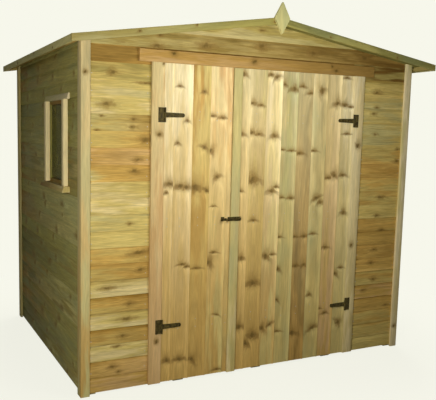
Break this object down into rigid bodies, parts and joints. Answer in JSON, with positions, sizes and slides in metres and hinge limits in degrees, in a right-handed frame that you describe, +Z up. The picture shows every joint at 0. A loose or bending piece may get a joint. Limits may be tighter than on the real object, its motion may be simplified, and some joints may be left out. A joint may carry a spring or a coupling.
{
  "type": "wooden garden shed",
  "caption": "Pressure-treated softwood garden shed with a low ridged roof, a pair of boarded doors in the front gable, a side window, a boarded floor and a hollow interior.",
  "frame": {"origin": "middle of the footprint, over the corner trims, at ground level", "axes": "+Z up, -Y out of the front with the doors, +X to the right of someone facing the front"},
  "size_m": [2.574, 2.049, 2.323],
  "materials": {
    "cladding_boards": "planed and pressure treated, matt",
    "door_boards": "planed and pressure treated, matt",
    "trim_timber": "planed and pressure treated, matt",
    "framing_timber": "sawn and pressure treated, matt",
    "sheeting_boards": "planed, matt",
    "roofing_felt": "mineral faced bitumen felt",
    "window_glass": "clear",
    "black_iron": "black japanned"
  },
  "bodies": {
    "root": {"floor_bearers": "framing_timber", "floor_deck": "sheeting_boards", "sole_plates": "framing_timber", "top_plates": "framing_timber", "front_wall_studs": "framing_timber", "back_wall_studs": "framing_timber", "left_wall_studs": "framing_timber", "right_wall_studs": "framing_timber", "window_noggins": "framing_timber", "front_cladding_left": "cladding_boards", "front_cladding_right": "cladding_boards", "front_gable_cladding": "cladding_boards", "back_wall_cladding": "cladding_boards", "left_wall_cladding": "cladding_boards", "right_wall_cladding": "cladding_boards", "roof_purlins": "framing_timber", "roof_boards_left": "sheeting_boards", "roof_boards_right": "sheeting_boards", "roof_felt": "roofing_felt", "eaves_fascias": "trim_timber", "front_left_bargeboard": "trim_timber", "front_right_bargeboard": "trim_timber", "back_left_bargeboard": "trim_timber", "back_right_bargeboard": "trim_timber", "finial": "trim_timber", "front_corner_trims": "trim_timber", "back_corner_trims": "trim_timber", "left_jamb_trim": "trim_timber", "right_jamb_trim": "trim_timber", "header_trim": "trim_timber", "window_frame": "trim_timber", "window_glass": "window_glass", "window_trim": "trim_timber", "window_drip": "trim_timber", "window_sill": "trim_timber", "hinge_plates": "black_iron"},
    "left_door": {"left_door_boards": "door_boards", "left_door_ledges": "framing_timber", "left_door_straps": "black_iron", "latch_keep": "black_iron"},
    "right_door": {"right_door_boards": "door_boards", "right_door_ledges": "framing_timber", "right_door_straps": "black_iron", "door_cover_strip": "trim_timber", "latch_plate": "black_iron", "latch_bolt": "black_iron"}
  },
  "joints": [
    {"name": "left_door_hinge", "type": "hinge", "parent": "root", "child": "left_door", "pos_m": [-0.6975, -0.9053, 1], "axis": [0, 0, -1], "range_deg": [0, 160]},
    {"name": "right_door_hinge", "type": "hinge", "parent": "root", "child": "right_door", "pos_m": [0.6975, -0.9053, 1], "axis": [0, 0, 1], "range_deg": [0, 160]}
  ]
}
